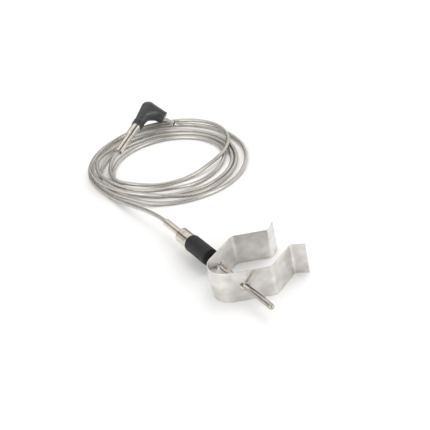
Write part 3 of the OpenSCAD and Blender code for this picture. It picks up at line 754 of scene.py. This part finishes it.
def cable_piece(name, d0, d1, sides=20):
    keep = np.where((dist >= d0 - 1e-6) & (dist <= d1 + 1e-6))[0]
    keep = np.arange(max(0, keep[0] - 1), min(len(path), keep[-1] + 2))
    verts, along, ca, sa = [], [], [], []
    for i in keep:
        t = unit(path[min(i + 1, len(path) - 1)] - path[max(i - 1, 0)])
        s = unit(np.cross([0, 0, 1.0], t))
        u = np.cross(t, s)
        for k in range(sides):
            a = 2 * math.pi * k / sides
            verts.append(path[i] + cable_r * (math.cos(a) * s + math.sin(a) * u))
            along.append(dist[i]); ca.append(math.cos(a)); sa.append(math.sin(a))
    n = len(keep)
    faces = [(i * sides + k, i * sides + (k + 1) % sides, (i + 1) * sides + (k + 1) % sides, (i + 1) * sides + k)
             for i in range(n - 1) for k in range(sides)]
    o = new_object(name, verts, faces, {"along": along, "ca": ca, "sa": sa})
    outward(o)
    smooth(o)
    return o


a_cut, b_cut = d_plug + 1 + 24, d_probe - 1 - 30
# Each lead meets the coil at the same ring, because the cuts fall on shared rings
a_cut = dist[np.argmin(abs(dist - a_cut))]
b_cut = dist[np.argmin(abs(dist - b_cut))]
coil = cable_piece("cable_coil", a_cut, b_cut)
plug_lead = cable_piece("cable_plug_lead", 0, a_cut, 24)
probe_lead = cable_piece("cable_probe_lead", b_cut, dist[-1], 24)
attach(finish_piece(coil, BRAID, "braid_steel", "cable_braid", "cable_core"), "cable")
finish_piece(plug_lead, BRAID, "braid_steel", "plug_end_braid")
finish_piece(probe_lead, BRAID, "braid_steel", "probe_end_braid")
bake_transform(plug_lead)
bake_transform(probe_lead)

# -------------------------------------------------------------------- plug

plug_side = -arm_dir
plug_up = np.cross(plug_n, plug_side)
PLUG = (plug_end, plug_n, plug_side, plug_up)
ELBOW, BOOT_U, ARM = 46.0, 27.0, 13.3
elbow_at = plug_end + plug_n * ELBOW
OUT = (elbow_at, arm_dir, plug_n, plug_up)
tube_r, rc_r = 2.75, 3.35

prof = filleted([(0, cable_r + 0.03), (0, tube_r - 0.15), (0.15, tube_r), (24, tube_r), (24, cable_r + 0.03)], {1: 0.08, 2: 0.1, 3: 0.1})
tube = lathe("relief_tube", prof, PLUG, 96, True)
weighted(tube)
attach(finish_piece(tube, RELIEF, "nickel", "strain_relief_tube"), "plug")
prof = filleted([(17.2, tube_r + 0.02), (17.2, rc_r - 0.25), (17.45, rc_r), (31.5, rc_r), (31.5, 2.0), (24.1, 2.0), (24.1, tube_r + 0.02)],
                {1: 0.1, 2: 0.12, 3: 0.1})
relief = lathe("relief_collar", prof, PLUG, 96, True)
weighted(relief)
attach(finish_piece(relief, RELIEF, "nickel", "strain_relief_collar"), "plug")


def solid_lathe(name, prof, axes, sides=64):
    return lathe(name, [(prof[0][0], 0)] + prof + [(prof[-1][0], 0)], axes, sides)


def join(objects, name):
    bm = bmesh.new()
    for o in objects:
        bm.from_mesh(o.data)
    me = bpy.data.meshes.new(name)
    bm.to_mesh(me)
    bm.free()
    for o in objects:
        bpy.data.objects.remove(o)
    o = bpy.data.objects.new(name, me)
    bpy.context.scene.collection.objects.link(o)
    return o


arm_prof = filleted([(0.0, 5.6), (ARM - 1.3, 4.62), (ARM - 1.15, 4.78), (ARM - 0.25, 4.72), (ARM, 4.45)], {1: 0.3, 2: 0.3, 3: 0.3})
neck = filleted([
    (BOOT_U, 3.85), (BOOT_U + 0.12, 4.03), (BOOT_U + 0.78, 4.03), (BOOT_U + 0.9, 3.5), (BOOT_U + 1.65, 3.5), (BOOT_U + 1.77, 4.12),
    (BOOT_U + 2.43, 4.12), (BOOT_U + 2.55, 3.5), (BOOT_U + 3.3, 3.5), (BOOT_U + 3.42, 4.22), (BOOT_U + 4.1, 4.22), (BOOT_U + 4.65, 3.8),
    (ELBOW - 3.0, 5.25), (ELBOW, 5.62)], {1: 0.1, 2: 0.1, 5: 0.1, 6: 0.1, 9: 0.1, 10: 0.1, 12: 2.0})
BEND = 9.0


def quarter_bend(name, n=26, sides=72):
    """Swept tube that carries the body round to the arm, so that the inner corner is a wide curve"""
    c = elbow_at - plug_n * BEND + arm_dir * BEND
    verts, faces = [], []
    for i in range(n + 1):
        a = math.pi / 2 * i / n
        rad = -arm_dir * math.cos(a) + plug_n * math.sin(a)
        r = 4.5 + 0.35 * i / n + 0.7 * math.sin(2 * a)
        mid = c + rad * BEND
        for k in range(sides):
            b = 2 * math.pi * k / sides
            verts.append(mid + r * (math.cos(b) * rad + math.sin(b) * plug_up))
    for i in range(n):
        for k in range(sides):
            j = (k + 1) % sides
            faces.append((i * sides + k, i * sides + j, (i + 1) * sides + j, (i + 1) * sides + k))
    faces.append(tuple(range(sides)))
    faces.append(tuple(n * sides + k for k in range(sides - 1, -1, -1)))
    o = new_object(name, verts, faces)
    outward(o)
    return o


ball = [(5.7 * math.sin(a), 5.7 * math.cos(a)) for a in np.linspace(-math.pi / 2, math.pi / 2, 40)]
ball = [(ELBOW + x, max(0.0, r)) for x, r in ball]
boot = join([
    solid_lathe("a", neck, PLUG, 96), solid_lathe("b", arm_prof, OUT, 96), quarter_bend("d"),
    lathe("c", [(ball[0][0], 0)] + ball[1:-1] + [(ball[-1][0], 0)], PLUG, 96)], "plug_boot_moulding")
mod = boot.modifiers.new("fuse", "REMESH")
mod.mode = "VOXEL"
mod.voxel_size = 0.17 * MM
bake_modifiers(boot)
mod = boot.modifiers.new("soften", "CORRECTIVE_SMOOTH")
mod.iterations = 3
mod.smooth_type = "SIMPLE"
mod.use_only_smooth = True
mod.factor = 0.5
bake_modifiers(boot)
cut_neck = solid_lathe("cut_neck", [(BOOT_U - 1, rc_r + 0.02), (31.6, rc_r + 0.02)], PLUG, 96)
cut_arm = solid_lathe("cut_arm", [(0.5, 2.92), (ARM + 1, 2.92)], OUT, 96)
for cutter in (cut_neck, cut_arm):
    mod = boot.modifiers.new("bore", "BOOLEAN")
    mod.operation = "DIFFERENCE"
    mod.object = cutter
    mod.solver = "EXACT"
    bake_modifiers(boot)
for cutter in (cut_neck, cut_arm):
    bpy.data.objects.remove(cutter)
mod = boot.modifiers.new("fewer", "DECIMATE")
mod.ratio = 0.55
bake_modifiers(boot)
smooth(boot)
boot.data.set_sharp_from_angle(angle=math.radians(50))
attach(finish_piece(boot, BOOT, "black_moulding", "plug_boot"), "plug")

prof = filleted([
    (6.4, 0.72), (6.4, 1.6), (ARM, 1.6), (ARM, 2.6), (ARM + 0.8, 2.6), (ARM + 0.8, 1.25), (ARM + 8, 1.25), (ARM + 8, 0.72)],
    {1: 0.1, 3: 0.1, 4: 0.15, 5: 0.1, 6: 0.1})
barrel = lathe("jack_shank", prof, OUT, 80, True)
weighted(barrel)
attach(finish_piece(barrel, JACK, "nickel", "jack_barrel"), "plug")
prof = filleted([(6.2, 0.43), (6.2, 0.7), (ARM + 8.02, 0.7), (ARM + 8.02, 1.25), (ARM + 8.8, 1.25), (ARM + 8.8, 0.43)], {3: 0.04, 4: 0.06})
band = lathe("jack_insulating_band", prof, OUT, 72, True)
weighted(band)
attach(finish_piece(band, INSULATOR, "grey_plastic", "jack_insulator"), "plug")
prof = [(-0.9, 0)] + filleted([
    (-0.9, 0.4), (ARM + 8.85, 0.4), (ARM + 8.85, 1.0), (ARM + 9.45, 1.15), (ARM + 10.15, 0.75), (ARM + 10.85, 1.2), (ARM + 12, 0.35)],
    {2: 0.08, 3: 0.15, 4: 0.25, 5: 0.25}, 6) + [(ARM + 12, 0)]
tip = lathe("jack_end", prof, OUT, 72)
weighted(tip)
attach(finish_piece(tip, JACK, "nickel", "jack_tip"), "plug")

# ------------------------------------------------------------------- stage

bm = bmesh.new()
bmesh.ops.create_grid(bm, x_segments=8, y_segments=8, size=4.0)
me = bpy.data.meshes.new("floor")
bm.to_mesh(me)
bm.free()
floor = bpy.data.objects.new("floor", me)
bpy.context.scene.collection.objects.link(floor)
floor.location = (0, 0, floor_z * MM)
m, nt, b = mat("floor_paper")
n = noise(nt, objco(nt), 0.01, 3)
put(nt, mix(nt, n, (0.90, 0.90, 0.90, 1), (0.92, 0.92, 0.92, 1)), b.inputs["Base Color"])
b.inputs["Roughness"].default_value = 0.75
b.inputs["Specular IOR Level"].default_value = 0.2
floor.data.materials.append(m)

CAM = np.array([304.218, -152.883, 247.334]) * MM
RIGHT = np.array([0.49236435, 0.85027178, -0.18605173])
UP = np.array([-0.35294635, 0.39043485, 0.85028789])
FWD = np.array([-0.79561688, 0.35298517, -0.49233652])

world = bpy.data.worlds.new("studio")
bpy.context.scene.world = world
world.use_nodes = True
wt = world.node_tree
wt.nodes.clear()
w_out = wt.nodes.new("ShaderNodeOutputWorld")
bg = wt.nodes.new("ShaderNodeBackground")
wt.links.new(bg.outputs[0], w_out.inputs[0])
tc = wt.nodes.new("ShaderNodeTexCoord")


def toward(direction):
    n = wt.nodes.new("ShaderNodeVectorMath")
    n.operation = "DOT_PRODUCT"
    wt.links.new(tc.outputs["Generated"], n.inputs[0])
    n.inputs[1].default_value = tuple(unit(np.array(direction, float)))
    return n.outputs["Value"]


# A white tent with two soft boxes low on either side of the camera, and a few dark
# places: where the camera stands and where the tent is open
split = wt.nodes.new("ShaderNodeSeparateXYZ")
wt.links.new(tc.outputs["Generated"], split.inputs[0])
azimuth = calc(wt, "ARCTAN2", split.outputs[1], split.outputs[0])
height = split.outputs[2]


def dark_spot(az, el, inner, outer):
    az, el = math.radians(az), math.radians(el)
    d = toward((math.cos(el) * math.cos(az), math.cos(el) * math.sin(az), math.sin(el)))
    return remap(wt, d, math.cos(math.radians(outer)), math.cos(math.radians(inner)), 0.0, 1.0)


def soft_box(az, half, top):
    d = calc(wt, "ABSOLUTE", calc(wt, "SUBTRACT", azimuth, math.radians(az)))
    f = remap(wt, d, math.radians(half - 3), math.radians(half + 5), 1.0, 0.0)
    return calc(wt, "MULTIPLY", f, remap(wt, height, top - 0.06, top + 0.06, 1.0, 0.0))


boxes = calc(wt, "MAXIMUM", soft_box(-78, 18, 0.55), soft_box(24, 18, 0.55))
spots = [dark_spot(-152, 30, 8, 12), dark_spot(68, 48, 14, 19), dark_spot(178, 10, 17, 23), dark_spot(142, 2, 8, 15),
         dark_spot(-26, 30, 15, 27), dark_spot(-26, 8, 12, 24)]
shade = spots[0]
for other in spots[1:] + [calc(wt, "MULTIPLY", dark_spot(-145, 8, 5, 17), 0.4)]:
    shade = calc(wt, "MAXIMUM", shade, other)
lit = mix(wt, boxes, (0.93, 0.93, 0.925, 1), (2.6, 2.6, 2.56, 1))
# The dark patches are there for the reflections, and the camera itself sees a plain backdrop
path = wt.nodes.new("ShaderNodeLightPath")
shade = calc(wt, "MULTIPLY", calc(wt, "MULTIPLY", shade, 0.95), calc(wt, "SUBTRACT", 1.0, path.outputs["Is Camera Ray"]))
put(wt, mix(wt, shade, lit, (0.09, 0.075, 0.06, 1)), bg.inputs["Color"])
bg.inputs["Strength"].default_value = 1.12

key = bpy.data.objects.new("key", bpy.data.lights.new("key", "SUN"))
key.data.energy = 0.8
key.data.angle = math.radians(50)
key.visible_glossy = False
bpy.context.scene.collection.objects.link(key)
right_h, back_h = unit(np.array([RIGHT[0], RIGHT[1], 0])), unit(np.array([FWD[0], FWD[1], 0]))
from_dir = unit(0.55 * right_h + 0.40 * back_h + np.array([0, 0, 1.05]))
key.rotation_mode = "QUATERNION"
key.rotation_quaternion = Vector(from_dir).to_track_quat("Z", "Y")

cam = bpy.data.objects.new("camera", bpy.data.cameras.new("camera"))
bpy.context.scene.collection.objects.link(cam)
cam.data.sensor_width = 36
cam.data.lens = 871.27 / 430 * 36
cam.data.clip_start = 0.01
cam.data.clip_end = 20
rows = [[RIGHT[i], UP[i], -FWD[i], CAM[i]] for i in range(3)] + [[0, 0, 0, 1]]
cam.matrix_world = Matrix(rows)
bpy.context.scene.camera = cam
bpy.context.scene.view_settings.view_transform = "Standard"

bpy.context.view_layer.update()
